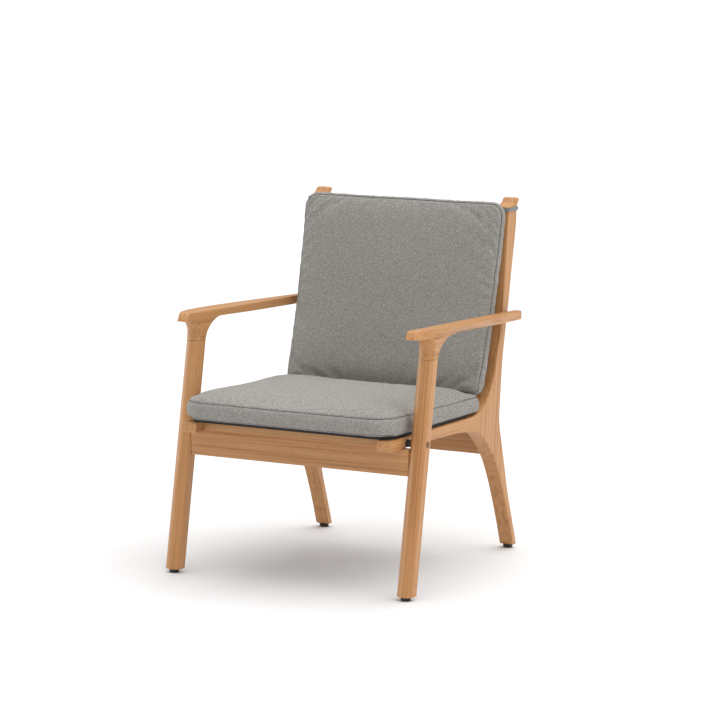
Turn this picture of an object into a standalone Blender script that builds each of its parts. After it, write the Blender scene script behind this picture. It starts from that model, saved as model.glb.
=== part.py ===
"""A wooden lounge armchair with a loose seat cushion and a back cushion tied to its posts.

The chair faces -Y and stands on Z = 0, centred on X = 0. Two flat side frames, each a seat rail and a
back leg that runs on up as a post, carry the seat. The front legs stand outside them and turn over,
through a flared neck, into the armrests. Lengths are in metres.
"""

import math

import bmesh
import bpy
from mathutils import Matrix, Vector

# Driving dimensions -------------------------------------------------------------------------------
GAP = 0.0003                    # play between pieces that touch
CENTRE_Y = 0.3030               # middle of the depth, in the coordinates used for the side profiles

LEG_X = 0.30925                 # centre of a front leg
LEG_THICK = 0.0391              # front leg across the chair
LEG_DEEP = 0.032                # front leg along the chair, measured level
LEG_ROUND = 0.0095              # how far the rounded front of the leg stands out
LEG_ARRIS = math.radians(48)    # the front arc stops this far short of meeting the sides smoothly
LEG_FOOT_Y = -0.002             # leg centre at its lower end
LEG_LEAN = 0.1935               # run of the leg towards the back, for each metre of height
FOOT_HEIGHT = 0.0092            # wood starts this high, above the glides
ARM_JOINT_Z = 0.541             # glue line between leg and armrest

FRAME_X = 0.2574                # centre plane of a side frame
FRAME_THICK = 0.037
RAIL_JOINT_Y = 0.432            # where the seat rail meets the back leg
SEAT_SLOPE = math.radians(0.9)  # the seat falls this much towards the back
SEAT_PIVOT = (0.010, 0.3655)    # Y, Z of a point on the rail tops that the sloping parts turn about

DECK_THICK = 0.0075
DECK_HALF_WIDTH = 0.268
DECK_FRONT_Y = -0.009
DECK_BACK_Y = 0.455
DECK_CORNER = 0.046

APRON_THICK = 0.020             # the two deep boards under the seat
FRONT_APRON = (0.046, 0.2765, 0.0620)   # Y of the front face, Z of the lower edge, height
REAR_APRON = (0.512, 0.2480, 0.0570)

CROSS_RAIL_HEIGHT = 0.0215      # the two light rails just under the deck
FRONT_CROSS_RAIL = (0.0210, 0.0260)   # Y of the front face, depth
REAR_CROSS_RAIL = (0.3900, 0.0300)

SLAT_HEIGHT = 0.045             # slats behind the back cushion
SLAT_THICK = 0.014
SLAT_LEVELS = (0.450, 0.536, 0.622, 0.707, 0.792)

CUSHION_HALF_WIDTH = 0.279      # seat cushion
CUSHION_FRONT_Y = -0.034
CUSHION_BACK_Y = 0.4435
CUSHION_EDGE = 0.046            # thickness at its front edge
CUSHION_TAPER = 0.008           # how much thinner the back edge is
CUSHION_CROWN = 0.024
CUSHION_FRONT_CORNER = 0.060    # radius of its corners, seen from above
CUSHION_BACK_CORNER = 0.020

BACK_HALF_WIDTH = 0.2711        # back cushion, at the seam and at the top
BACK_TAPER = 0.018              # how much narrower it gets for each metre down
BACK_BOTTOM_Z = 0.3985
BACK_TOP_Z = 0.8540
BACK_CROWN = 0.012              # how far the front swells
BACK_REAR_CROWN = 0.013         # and the rear, between the posts

SPACER_RADIUS = 0.0085
ARM_SPACER_RADIUS = 0.0062
BOLT_RADIUS = 0.0040
BOLT_HEAD_RADIUS = 0.0065
BOLT_HEAD_LENGTH = 0.0050
INSERT_RADIUS = 0.0060
INSERT_LENGTH = 0.0180
PLUG_RADIUS = 0.0078
LEG_BOLT = (0.066, 0.3500)      # Y, Z of the bolt through each front leg
ARM_BOLT = (0.5640, 0.5835)     # Y, Z of the bolt from each post into its armrest

GLIDE_TOP_RADIUS = 0.0125
GLIDE_FLOOR_RADIUS = 0.0100
GLIDE_PIN_RADIUS = 0.0030
GLIDE_PIN_LENGTH = 0.0180
REAR_FOOT_Y = 0.6275

COLOURS = {
    "oak": (0.50, 0.27, 0.13),
    "oak_end": (0.21, 0.09, 0.04),
    "deck_black": (0.012, 0.012, 0.013),
    "hardware_black": (0.015, 0.015, 0.015),
    "steel": (0.55, 0.55, 0.55),
    "brass": (0.62, 0.45, 0.20),
    "grey_fabric": (0.22, 0.22, 0.21),
    "strap_grey": (0.20, 0.22, 0.23),
}
SURFACES = {                    # roughness, metallic
    "oak": (0.48, 0.0),
    "oak_end": (0.6, 0.0),
    "deck_black": (0.7, 0.0),
    "hardware_black": (0.45, 0.0),
    "steel": (0.35, 1.0),
    "brass": (0.35, 1.0),
    "grey_fabric": (0.95, 0.0),
    "strap_grey": (0.9, 0.0),
}
SIDES = (("left", -1), ("right", 1))


# Scene set-up -------------------------------------------------------------------------------------
def clear_scene():
    for ob in list(bpy.data.objects):
        bpy.data.objects.remove(ob, do_unlink=True)


def new_collection(name):
    made = bpy.data.collections.new(name)
    bpy.context.scene.collection.children.link(made)
    return made


def make_materials():
    made = {}
    for name, colour in COLOURS.items():
        mat = bpy.data.materials.new(name)
        mat.use_nodes = True
        shader = mat.node_tree.nodes["Principled BSDF"]
        shader.inputs["Base Color"].default_value = (*colour, 1.0)
        shader.inputs["Roughness"].default_value = SURFACES[name][0]
        shader.inputs["Metallic"].default_value = SURFACES[name][1]
        made[name] = mat
    return made


clear_scene()
CHAIR = new_collection("wooden_armchair")
CUTTERS = new_collection("cutters")
MATERIALS = make_materials()
FRAME_EMPTY = bpy.data.objects.new("chair_origin", None)
CHAIR.objects.link(FRAME_EMPTY)
FRAME_EMPTY.location = (0.0, -CENTRE_Y, 0.0)


# Helpers that make objects ------------------------------------------------------------------------
def place(ob, name, material):
    """Names an object, files it in the chair's collection and gives it its material."""
    for coll in list(ob.users_collection):
        coll.objects.unlink(ob)
    CHAIR.objects.link(ob)
    ob.name = name
    ob.data.name = name
    ob.data.materials.clear()
    ob.data.materials.append(MATERIALS[material])
    ob.parent = FRAME_EMPTY
    ob.data.shade_smooth()
    ob.data.set_sharp_from_angle(angle=math.radians(35))
    return ob


def as_cutter(ob):
    """Files an object as a tool for Booleans, hidden from renders."""
    for coll in list(ob.users_collection):
        coll.objects.unlink(ob)
    CUTTERS.objects.link(ob)
    ob.hide_render = True
    ob.display_type = "WIRE"
    ob.parent = FRAME_EMPTY
    return ob


def combine(ob, tool, operation):
    """Adds an exact Boolean of the tool to the object."""
    mod = ob.modifiers.new(operation.lower(), "BOOLEAN")
    mod.operation = operation
    mod.solver = "EXACT"
    mod.object = as_cutter(tool)
    return ob


def mesh_object(name, bm):
    bmesh.ops.recalc_face_normals(bm, faces=bm.faces)
    mesh = bpy.data.meshes.new(name)
    bm.to_mesh(mesh)
    bm.free()
    ob = bpy.data.objects.new(name, mesh)
    bpy.context.scene.collection.objects.link(ob)
    return ob


def block(size, centre, lean=0.0):
    """A box. lean is how far it runs back for each metre of height, as a turn about X."""
    bm = bmesh.new()
    bmesh.ops.create_cube(bm, size=1.0)
    bmesh.ops.scale(bm, vec=size, verts=bm.verts)
    ob = mesh_object("block", bm)
    ob.location = centre
    ob.rotation_euler.x = -math.atan(lean)
    return ob


def rod(radius, length, start, direction, segments=24, radius_end=None):
    """A cylinder, or a cone, from a start point along a unit direction."""
    bm = bmesh.new()
    end_radius = radius if radius_end is None else radius_end
    radii = {"radius1": radius, "radius2": end_radius}
    bmesh.ops.create_cone(bm, cap_ends=True, segments=segments, depth=length, **radii)
    bmesh.ops.translate(bm, vec=(0.0, 0.0, length / 2), verts=bm.verts)
    ob = mesh_object("rod", bm)
    ob.rotation_mode = "QUATERNION"
    ob.rotation_quaternion = Vector((0.0, 0.0, 1.0)).rotation_difference(Vector(direction))
    ob.location = start
    return ob


def turned(profile, place_at, steps=28):
    """A solid of revolution about Z: the profile runs top to bottom as (radius, height)."""
    bm = bmesh.new()
    verts = [bm.verts.new((radius, 0.0, height)) for radius, height in profile]
    for a, b in zip(verts, verts[1:]):
        bm.edges.new((a, b))
    mesh = bpy.data.meshes.new("turned")
    bm.to_mesh(mesh)
    bm.free()
    ob = bpy.data.objects.new("turned", mesh)
    bpy.context.scene.collection.objects.link(ob)
    ob.location = place_at
    screw = ob.modifiers.new("screw", "SCREW")
    screw.axis = "Z"
    screw.steps = steps
    screw.render_steps = steps
    screw.use_merge_vertices = True
    screw.merge_threshold = 0.00001
    return ob


def add_bevel(ob, width, segments=2, angle=50.0):
    bevel = ob.modifiers.new("bevel", "BEVEL")
    bevel.width = width
    bevel.segments = segments
    bevel.limit_method = "ANGLE"
    bevel.angle_limit = math.radians(angle)
    return ob


def side_outline(points, thickness, x_centre, edge_radius, resolution=4):
    """A plate in the YZ plane with rounded edges: its outline passes through (y, z, smooth) points."""
    curve = bpy.data.curves.new("outline", "CURVE")
    curve.dimensions = "2D"
    curve.fill_mode = "BOTH"
    curve.extrude = thickness / 2 - edge_radius
    curve.bevel_depth = edge_radius
    curve.bevel_resolution = 1
    curve.offset = -edge_radius
    curve.resolution_u = resolution
    spline = curve.splines.new("BEZIER")
    spline.use_cyclic_u = True
    spline.bezier_points.add(len(points) - 1)
    for knot, (y, z, smooth) in zip(spline.bezier_points, points):
        knot.co = (y, z, 0.0)
        handle = "AUTO" if smooth else "VECTOR"
        knot.handle_left_type = handle
        knot.handle_right_type = handle
    ob = bpy.data.objects.new("outline", curve)
    bpy.context.scene.collection.objects.link(ob)
    ob.matrix_world = Matrix(((0, 0, 1, x_centre), (1, 0, 0, 0), (0, 1, 0, 0), (0, 0, 0, 1)))
    return to_mesh(ob)


def to_mesh(curve_ob):
    """Turns a curve object into a mesh object with welded caps, in the same place."""
    bpy.context.view_layer.update()
    evaluated = curve_ob.evaluated_get(bpy.context.evaluated_depsgraph_get())
    mesh = bpy.data.meshes.new_from_object(evaluated)
    bm = bmesh.new()
    bm.from_mesh(mesh)
    bmesh.ops.remove_doubles(bm, verts=bm.verts, dist=0.00001)
    bmesh.ops.recalc_face_normals(bm, faces=bm.faces)
    bm.to_mesh(mesh)
    bm.free()
    ob = bpy.data.objects.new(curve_ob.name, mesh)
    bpy.context.scene.collection.objects.link(ob)
    ob.matrix_world = curve_ob.matrix_world
    bpy.data.objects.remove(curve_ob, do_unlink=True)
    return ob


def loft(rings, cap_start=True, cap_end=True):
    """Joins closed rings of equally many points with quads, and caps both ends."""
    bm = bmesh.new()
    rows = [[bm.verts.new(point) for point in ring] for ring in rings]
    count = len(rows[0])
    for low, high in zip(rows, rows[1:]):
        for i in range(count):
            j = (i + 1) % count
            bm.faces.new((low[i], low[j], high[j], high[i]))
    if cap_start:
        bm.faces.new(rows[0])
    if cap_end:
        bm.faces.new(rows[-1])
    return mesh_object("loft", bm)


def blend(stations, value):
    """Reads a smooth value between (place, value) stations, level beyond the ends."""
    if value <= stations[0][0]:
        return stations[0][1]
    for (a, va), (b, vb) in zip(stations, stations[1:]):
        if value <= b:
            t = (value - a) / (b - a)
            return va + (vb - va) * t * t * (3 - 2 * t)
    return stations[-1][1]


def along(stations, value):
    """Reads a value between (place, value) stations on straight lines, level beyond the ends."""
    if value <= stations[0][0]:
        return stations[0][1]
    for (a, va), (b, vb) in zip(stations, stations[1:]):
        if value <= b:
            return va + (vb - va) * (value - a) / (b - a)
    return stations[-1][1]


# Front legs and armrests --------------------------------------------------------------------------
def leg_centre_y(z):
    return LEG_FOOT_Y + LEG_LEAN * (z - FOOT_HEIGHT)


def leg_section(side, flare_out=0.0, flare_front=0.0, flare_back=0.0):
    """The leg seen from above, about its centre: flat sides, round front, softened back corners.

    The flares push the outer side, the front and the back outwards, and leave the inner side flat.
    """
    half = LEG_THICK / 2
    back = LEG_DEEP / 2
    shoulder = -LEG_DEEP / 2 + LEG_ROUND
    corner = 0.002
    low = math.sin(LEG_ARRIS)
    front = []
    for step in range(13):
        angle = LEG_ARRIS + (math.pi - 2 * LEG_ARRIS) * step / 12
        x = half * math.cos(angle) / math.cos(LEG_ARRIS)
        y = shoulder - LEG_ROUND * (math.sin(angle) - low) / (1.0 - low)
        outward = (1.0 + x / half) / 2
        front.append((x + flare_out * outward, y - flare_front))
    rear = []
    for centre_x, start in ((-half + corner, math.pi), (half - corner, math.pi / 2)):
        for step in range(4):
            angle = start - math.pi / 2 * step / 3
            x = centre_x + corner * math.cos(angle)
            outward = (1.0 + x / half) / 2
            y = back - corner + corner * math.sin(angle)
            rear.append((x + 0.4 * flare_out * outward, y + flare_back))
    return [(side * x, y) for x, y in front + rear]


def make_front_leg(side_name, side):
    rings = []
    for z in (FOOT_HEIGHT, ARM_JOINT_Z - 2 * GAP):
        centre = leg_centre_y(z)
        rings.append([(side * LEG_X + x, centre + y, z) for x, y in leg_section(side)])
    leg = loft(rings)
    joint_y = leg_centre_y(ARM_JOINT_Z)
    socket = block((0.0126, 0.0166, 0.060), (side * LEG_X, joint_y, ARM_JOINT_Z), LEG_LEAN)
    combine(leg, socket, "DIFFERENCE")
    bolt_y, bolt_z = LEG_BOLT
    outer = side * (LEG_X + LEG_THICK / 2 + 0.002)
    inward = (-side, 0.0, 0.0)
    bolt_hole = rod(BOLT_RADIUS + GAP, LEG_THICK + 0.004, (outer, bolt_y, bolt_z), inward)
    combine(leg, bolt_hole, "DIFFERENCE")
    plug_hole = rod(PLUG_RADIUS + GAP, 0.002 + 0.0090 + BOLT_HEAD_LENGTH, (outer, bolt_y, bolt_z), inward)
    combine(leg, plug_hole, "DIFFERENCE")
    tenon = apron_tenon(FRONT_APRON, side * (LEG_X - LEG_THICK / 2), GAP)
    combine(leg, tenon, "DIFFERENCE")
    combine(leg, glide_pin_hole(side * LEG_X, LEG_FOOT_Y), "DIFFERENCE")
    place(leg, f"front_leg_{side_name}", "oak")


def make_arm_tenon(side_name, side):
    middle = (side * LEG_X, leg_centre_y(ARM_JOINT_Z), ARM_JOINT_Z)
    tenon = block((0.0120, 0.0160, 0.058), middle, LEG_LEAN)
    add_bevel(tenon, 0.0015)
    place(tenon, f"arm_tenon_{side_name}", "oak")


# Along the armrest, as (y, value): its sides, top and underside, the height of the upright lip on the
# outer side, and how far the outer side is cut away below that lip.
ARM_TIP_Y = 0.040
ARM_END_Y = 0.5865
ARM_INNER = (
    (0.040, 0.2887), (0.150, 0.2893), (0.250, 0.2885), (0.370, 0.2878), (0.520, 0.2900), (0.588, 0.2917),
)
ARM_OUTER = (
    (0.040, 0.3146), (0.055, 0.3225), (0.075, 0.3300), (0.105, 0.3372), (0.150, 0.3410), (0.200, 0.3412),
    (0.270, 0.3385), (0.330, 0.3345), (0.390, 0.3295), (0.470, 0.3225), (0.545, 0.3145), (0.588, 0.3105),
)
ARM_TOP = ((0.040, 0.6128), (0.120, 0.6096), (0.588, 0.5925))
ARM_UNDER = ((0.040, 0.5930), (0.180, 0.5895), (0.324, 0.5825), (0.588, 0.5713))
ARM_LIP = (
    (0.090, 0.0180), (0.150, 0.0050), (0.280, 0.0045), (0.400, 0.0110), (0.480, 0.0170), (0.588, 0.0200),
)
ARM_CHAMFER = ((0.090, 0.0005), (0.160, 0.0170), (0.300, 0.0150), (0.400, 0.0080), (0.500, 0.0012))
TIP_LEAN = 0.013                # the lower edge of the front end stands this far ahead of the top edge
TIP_LEAN_END_Y = 0.078          # and the lean has died away here
TIP_ROUND = 0.006               # rounding of the top at the front end


def tip_drop(y):
    """How far the top is rounded down at the front end."""
    short = max(0.0, TIP_ROUND - (y - ARM_TIP_Y))
    return TIP_ROUND - math.sqrt(TIP_ROUND ** 2 - min(short, TIP_ROUND) ** 2)


def arm_ring(y, side, shrink):
    """The armrest's section at y: flat top, upright inner side, and an outer side cut away below."""
    inner = along(ARM_INNER, y) + shrink
    outer = along(ARM_OUTER, y) - shrink
    top = along(ARM_TOP, y) - shrink - tip_drop(y)
    under = along(ARM_UNDER, y) + shrink
    lip = min(blend(ARM_LIP, y), top - under - 0.0008)
    chamfer = min(blend(ARM_CHAMFER, y), outer - inner - 0.010)
    soft = 0.0022
    points = [
        (inner, under + soft), (inner, top - soft),
        (inner + 0.3 * soft, top - 0.3 * soft), (inner + soft, top), (outer - soft, top),
        (outer - 0.3 * soft, top - 0.3 * soft), (outer, top - soft),
        (outer, top - lip), (outer - 0.25 * chamfer, top - lip - 0.42 * (top - lip - under)),
        (outer - 0.60 * chamfer, top - lip - 0.78 * (top - lip - under)), (outer - chamfer - soft, under),
        (inner + soft, under), (inner + 0.3 * soft, under + 0.3 * soft),
    ]
    lean = TIP_LEAN * max(0.0, TIP_LEAN_END_Y - y) / (TIP_LEAN_END_Y - ARM_TIP_Y)
    full_top = along(ARM_TOP, y)
    depth = full_top - along(ARM_UNDER, y)
    return [(side * x, y - lean * (full_top - z) / depth, z) for x, z in points]


def arm_stations():
    """(y, shrink) along the armrest: close together where the ends are rounded over."""
    end_radius = 0.0030
    front = []
    back = []
    for step in range(5):
        angle = math.pi / 2 * step / 4
        inset = end_radius * (1.0 - math.sin(angle))
        front.append((ARM_TIP_Y + end_radius * (1.0 - math.cos(angle)), inset))
        back.append((ARM_END_Y - end_radius * (1.0 - math.cos(angle)), inset))
    near_tip = (0.0445, 0.0462, 0.050, 0.055, 0.065, 0.075, 0.090, 0.105, 0.125, 0.150, 0.175, 0.205)
    beyond = (0.240, 0.280, 0.320, 0.360, 0.400, 0.440, 0.480, 0.520, 0.555)
    middle = [(y, 0.0) for y in near_tip + beyond]
    return front + middle + back[::-1]


def quarter(reach, share):
    """A quarter of an ellipse: nothing at share 0, steeper and steeper, and the full reach at share 1."""
    return reach * (1.0 - math.sqrt(max(0.0, 1.0 - min(max(share, 0.0), 1.0) ** 2)))


def neck_rings(side):
    """Sections from the glue line up into the armrest, flaring forwards, outwards and backwards."""
    rings = []
    height = 0.5905 - ARM_JOINT_Z
    levels = [ARM_JOINT_Z + height * math.sin(math.pi / 2 * step / 12) for step in range(13)]
    for z in levels + [0.6000]:
        rise = min((z - ARM_JOINT_Z) / height, 1.0)
        centre = leg_centre_y(z)
        forward = quarter(0.024, (rise - 0.30) / 0.70)
        section = leg_section(1, quarter(0.0110, rise), forward, quarter(0.070, rise))
        ring = []
        for x, y in section:
            limit = along(ARM_OUTER, centre + y) - 0.0003
            ring.append((side * min(LEG_X + x, limit), centre + y, z))
        rings.append(ring)
    return rings


def make_armrest(side_name, side):
    arm = loft([arm_ring(y, side, shrink) for y, shrink in arm_stations()])
    combine(arm, loft(neck_rings(side)), "UNION")
    joint = (side * LEG_X, leg_centre_y(ARM_JOINT_Z), ARM_JOINT_Z)
    combine(arm, block((0.0126, 0.0166, 0.060), joint, LEG_LEAN), "DIFFERENCE")
    bolt_y, bolt_z = ARM_BOLT
    start = (side * (along(ARM_INNER, bolt_y) - 0.002), bolt_y, bolt_z)
    combine(arm, rod(INSERT_RADIUS + GAP, 0.002 + 0.0135, start, (side, 0.0, 0.0), 20), "DIFFERENCE")
    place(arm, f"armrest_{side_name}", "oak")


# Side frames: seat rail and back leg --------------------------------------------------------------
RAIL_OUTLINE = (
    (-0.0130, 0.3440, False), (-0.0130, 0.3610, False), (-0.0117, 0.3641, True), (-0.0085, 0.3654, False),
    (0.3740, 0.3594, False), (0.4030, 0.3605, True), (0.4323, 0.3655, True), (0.4545, 0.3755, False),
    (0.4550, 0.2975, False), (0.4323, 0.3125, True), (0.4080, 0.3203, True), (0.3820, 0.3249, True),
    (0.3450, 0.3293, True), (0.2280, 0.3349, True), (0.0840, 0.3388, True), (-0.0085, 0.3398, False),
    (-0.0117, 0.3411, True),
)
BACK_LEG_OUTLINE = (
    (0.4030, 0.3605, False), (0.4323, 0.3655, True), (0.4545, 0.3755, True), (0.4800, 0.3975, True),
    (0.5035, 0.4290, True),
    (0.5240, 0.4830, True), (0.5430, 0.5480, True), (0.5560, 0.6188, True), (0.5640, 0.6900, True),
    (0.5715, 0.7622, True), (0.5815, 0.8180, True), (0.5872, 0.8385, False), (0.6000, 0.8425, True),
    (0.6130, 0.8465, True), (0.6200, 0.8520, True), (0.6255, 0.8570, True), (0.6345, 0.8580, True),
    (0.6405, 0.8535, True), (0.6345, 0.8460, True), (0.6292, 0.8370, True), (0.6265, 0.8049, True),
    (0.6073, 0.7102, True),
    (0.5882, 0.6155, True), (0.5719, 0.5448, True), (0.5568, 0.4740, True), (0.5461, 0.3850, True),
    (0.5417, 0.3297, True), (0.5530, 0.2790, True), (0.5674, 0.2276, True), (0.5877, 0.1503, True),
    (0.6108, 0.0843, True), (0.6375, 0.0080, True), (0.6440, -0.0120, False), (0.6270, -0.0120, False),
    (0.6185, 0.0080, True), (0.5944, 0.0748, True),
    (0.5603, 0.1550, True), (0.5435, 0.1899, True), (0.5158, 0.2362, True), (0.4885, 0.2675, True),
    (0.4550, 0.2975, True), (0.4323, 0.3125, True), (0.4080, 0.3203, False),
)
RAIL_DOWELS_Z = (0.330, 0.349)
DOWEL_RADIUS = 0.0040
DOWEL_LENGTH = 0.040


def post_front_y(z):
    """Where the front of a post is at a height."""
    front = (
        (0.429, 0.5035), (0.480, 0.5240), (0.548, 0.5430), (0.6188, 0.5560), (0.690, 0.5640),
        (0.7622, 0.5715), (0.818, 0.5815), (0.8385, 0.5872),
    )
    return along(front, z)


def post_back_y(z):
    """Where the back of a post is at a height."""
    back = (
        (0.385, 0.5461), (0.474, 0.5568), (0.5448, 0.5719), (0.6155, 0.5882), (0.7102, 0.6073),
        (0.8049, 0.6265), (0.837, 0.6292),
    )
    return along(back, z)


def dowel_hole(side, z):
    length = DOWEL_LENGTH + 0.001
    start = (side * FRAME_X, RAIL_JOINT_Y - length / 2, z)
    return rod(DOWEL_RADIUS + GAP, length, start, (0.0, 1.0, 0.0), 16)


def make_seat_rail(side_name, side):
    rail = side_outline(RAIL_OUTLINE, FRAME_THICK, side * FRAME_X, 0.0030)
    combine(rail, block((0.060, 0.060, 0.120), (side * FRAME_X, RAIL_JOINT_Y + 0.030, 0.340)), "DIFFERENCE")
    for z in RAIL_DOWELS_Z:
        combine(rail, dowel_hole(side, z), "DIFFERENCE")
    bolt_y, bolt_z = LEG_BOLT
    outer = side * (FRAME_X + FRAME_THICK / 2 + 0.002)
    hole = rod(INSERT_RADIUS + GAP, INSERT_LENGTH + 0.004, (outer, bolt_y, bolt_z), (-side, 0.0, 0.0), 20)
    combine(rail, hole, "DIFFERENCE")
    for y, depth in (FRONT_CROSS_RAIL, REAR_CROSS_RAIL):
        socket = cross_rail_tenon(side, y, depth, GAP)
        combine(rail, socket, "DIFFERENCE")
    for x, y in deck_screw_places():
        if abs(x - side * FRAME_X) < 0.001:
            combine(rail, deck_screw_hole(x, y), "DIFFERENCE")
    place(rail, f"seat_rail_{side_name}", "oak")


def make_back_leg(side_name, side):
    leg = side_outline(BACK_LEG_OUTLINE, FRAME_THICK, side * FRAME_X, 0.0035)
    beyond_joint = block((0.060, 0.060, 0.120), (side * FRAME_X, RAIL_JOINT_Y + GAP - 0.030, 0.340))
    combine(leg, beyond_joint, "DIFFERENCE")
    below_foot = block((0.060, 0.080, 0.060), (side * FRAME_X, REAR_FOOT_Y, FOOT_HEIGHT - 0.030))
    combine(leg, below_foot, "DIFFERENCE")
    for z in RAIL_DOWELS_Z:
        combine(leg, dowel_hole(side, z), "DIFFERENCE")
    combine(leg, apron_tenon(REAR_APRON, side * (FRAME_X - FRAME_THICK / 2), GAP), "DIFFERENCE")
    for z in SLAT_LEVELS:
        combine(leg, slat_tenon(side, z, GAP), "DIFFERENCE")
    bolt_y, bolt_z = ARM_BOLT
    inner = side * (FRAME_X - FRAME_THICK / 2 - 0.002)
    outward = (side, 0.0, 0.0)
    shaft_hole = rod(BOLT_RADIUS + GAP, FRAME_THICK + 0.004, (inner, bolt_y, bolt_z), outward)
    combine(leg, shaft_hole, "DIFFERENCE")
    depth = 0.002 + BOLT_HEAD_LENGTH + 0.002
    head_hole = rod(BOLT_HEAD_RADIUS + 0.0006, depth, (inner, bolt_y, bolt_z), outward)
    combine(leg, head_hole, "DIFFERENCE")
    combine(leg, glide_pin_hole(side * FRAME_X, REAR_FOOT_Y), "DIFFERENCE")
    place(leg, f"back_leg_{side_name}", "oak")


def make_rail_dowels(side_name, side):
    for level, z in zip(("lower", "upper"), RAIL_DOWELS_Z):
        start = (side * FRAME_X, RAIL_JOINT_Y - DOWEL_LENGTH / 2, z)
        dowel = rod(DOWEL_RADIUS, DOWEL_LENGTH, start, (0.0, 1.0, 0.0), 16)
        place(dowel, f"rail_dowel_{level}_{side_name}", "oak")


# Boards and rails across the chair ----------------------------------------------------------------
TENON_LENGTH = 0.016


def apron_tenon(apron, face_x, clearance):
    """The stub of an apron that goes into the leg whose inner face is at face_x."""
    y, z, height = apron
    size = (2 * TENON_LENGTH + 2 * clearance, 0.010 + 2 * clearance, height - 0.016 + 2 * clearance)
    return block(size, (face_x, y + APRON_THICK / 2, z + height / 2))


def make_apron(name, apron, half_width):
    y, z, height = apron
    middle = (0.0, y + APRON_THICK / 2, z + height / 2)
    body = block((2 * half_width - 2 * GAP, APRON_THICK, height), middle)
    add_bevel(body, 0.0015)
    stub = block((2 * (half_width + TENON_LENGTH - GAP), 0.010, height - 0.016), middle)
    combine(body, stub, "UNION")
    place(body, name, "oak")


def rail_top_z(y):
    """Height of the rail tops, which slope down towards the back."""
    return SEAT_PIVOT[1] - math.tan(SEAT_SLOPE) * (y - SEAT_PIVOT[0])


def cross_rail_tenon(side, y, depth, clearance):
    face_x = side * (FRAME_X - FRAME_THICK / 2)
    size = (0.024 + 2 * clearance, depth - 0.010 + 2 * clearance, 0.010 + 2 * clearance)
    return block(size, (face_x, y + depth / 2, rail_top_z(y + depth / 2) - CROSS_RAIL_HEIGHT / 2 - 0.0008))


def make_cross_rail(name, y, depth):
    half_width = FRAME_X - FRAME_THICK / 2
    middle_z = rail_top_z(y + depth / 2) - CROSS_RAIL_HEIGHT / 2 - 0.0008
    body = block((2 * half_width - 2 * GAP, depth, CROSS_RAIL_HEIGHT), (0.0, y + depth / 2, middle_z))
    add_bevel(body, 0.0015)
    stub = block((2 * (half_width + 0.012 - GAP), depth - 0.010, 0.010), (0.0, y + depth / 2, middle_z))
    combine(body, stub, "UNION")
    for x, hole_y in deck_screw_places():
        if y < hole_y < y + depth and abs(x) < half_width:
            combine(body, deck_screw_hole(x, hole_y), "DIFFERENCE")
    place(body, name, "oak")


def slat_centre(z):
    return (post_front_y(z) + post_back_y(z)) / 2


def slat_lean(z):
    return (slat_centre(z + 0.02) - slat_centre(z - 0.02)) / 0.04


def slat_tenon(side, z, clearance):
    face_x = side * (FRAME_X - FRAME_THICK / 2)
    size = (0.024 + 2 * clearance, SLAT_THICK - 0.006 + 2 * clearance, SLAT_HEIGHT - 0.012 + 2 * clearance)
    return block(size, (face_x, slat_centre(z), z), slat_lean(z))


def make_slat(number, z):
    half_width = FRAME_X - FRAME_THICK / 2
    centre = (0.0, slat_centre(z), z)
    body = block((2 * half_width - 2 * GAP, SLAT_THICK, SLAT_HEIGHT), centre, slat_lean(z))
    add_bevel(body, 0.0025)
    stub_size = (2 * (half_width + 0.012 - GAP), SLAT_THICK - 0.006, SLAT_HEIGHT - 0.012)
    combine(body, block(stub_size, centre, slat_lean(z)), "UNION")
    place(body, f"back_slat_{number}", "oak")


# Seat deck and its screws -------------------------------------------------------------------------
SCREW_RADIUS = 0.0019
SCREW_HEAD_RADIUS = 0.0038
SCREW_LENGTH = 0.018


def deck_screw_places():
    places = []
    for y in (0.130, 0.330):
        for side in (-1, 1):
            places.append((side * FRAME_X, y))
    for y, depth in (FRONT_CROSS_RAIL, REAR_CROSS_RAIL):
        places.append((0.0, y + depth / 2))
    return places


def deck_top_z(y):
    return rail_top_z(y) + GAP + DECK_THICK


def deck_screw_hole(x, y):
    return rod(SCREW_RADIUS + GAP, SCREW_LENGTH + 0.006, (x, y, deck_top_z(y) + 0.004), (0.0, 0.0, -1.0), 12)


def rounded_rectangle(half_width, front, back, front_corner, back_corner, corner_steps=6):
    """Outline points seen from above, anticlockwise from the back right."""
    corners = (
        (half_width - back_corner, back - back_corner, back_corner, 0.0),
        (-half_width + back_corner, back - back_corner, back_corner, math.pi / 2),
        (-half_width + front_corner, front + front_corner, front_corner, math.pi),
        (half_width - front_corner, front + front_corner, front_corner, 3 * math.pi / 2),
    )
    points = []
    for x, y, radius, start in corners:
        for step in range(corner_steps + 1):
            angle = start + math.pi / 2 * step / corner_steps
            points.append((x + radius * math.cos(angle), y + radius * math.sin(angle)))
    return points


def deck_slab(outline):
    """An outline given the deck's thickness, lying on the sloping rails."""
    return loft([[(x, y, rail_top_z(y) + GAP + lift) for x, y in outline] for lift in (0.0, DECK_THICK)])


def make_deck():
    """The panel under the seat cushion: full width over the rails, narrower where it passes the posts."""
    wide_back = 0.384
    narrow = FRAME_X - FRAME_THICK / 2 - 0.004
    deck = deck_slab(rounded_rectangle(DECK_HALF_WIDTH, DECK_FRONT_Y, wide_back, DECK_CORNER, 0.008))
    tongue = deck_slab(rounded_rectangle(narrow, wide_back - 0.030, DECK_BACK_Y, 0.004, 0.012, 3))
    combine(deck, tongue, "UNION")
    add_bevel(deck, 0.0015, 1, 60)
    for x, y in deck_screw_places():
        top = deck_top_z(y)
        combine(deck, deck_screw_hole(x, y), "DIFFERENCE")
        head = (x, y, top + 0.0010)
        sink = rod(SCREW_HEAD_RADIUS + 2 * GAP, 0.0034, head, (0.0, 0.0, -1.0), 16, SCREW_RADIUS + GAP)
        combine(deck, sink, "DIFFERENCE")
    place(deck, "seat_deck", "deck_black")


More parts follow.
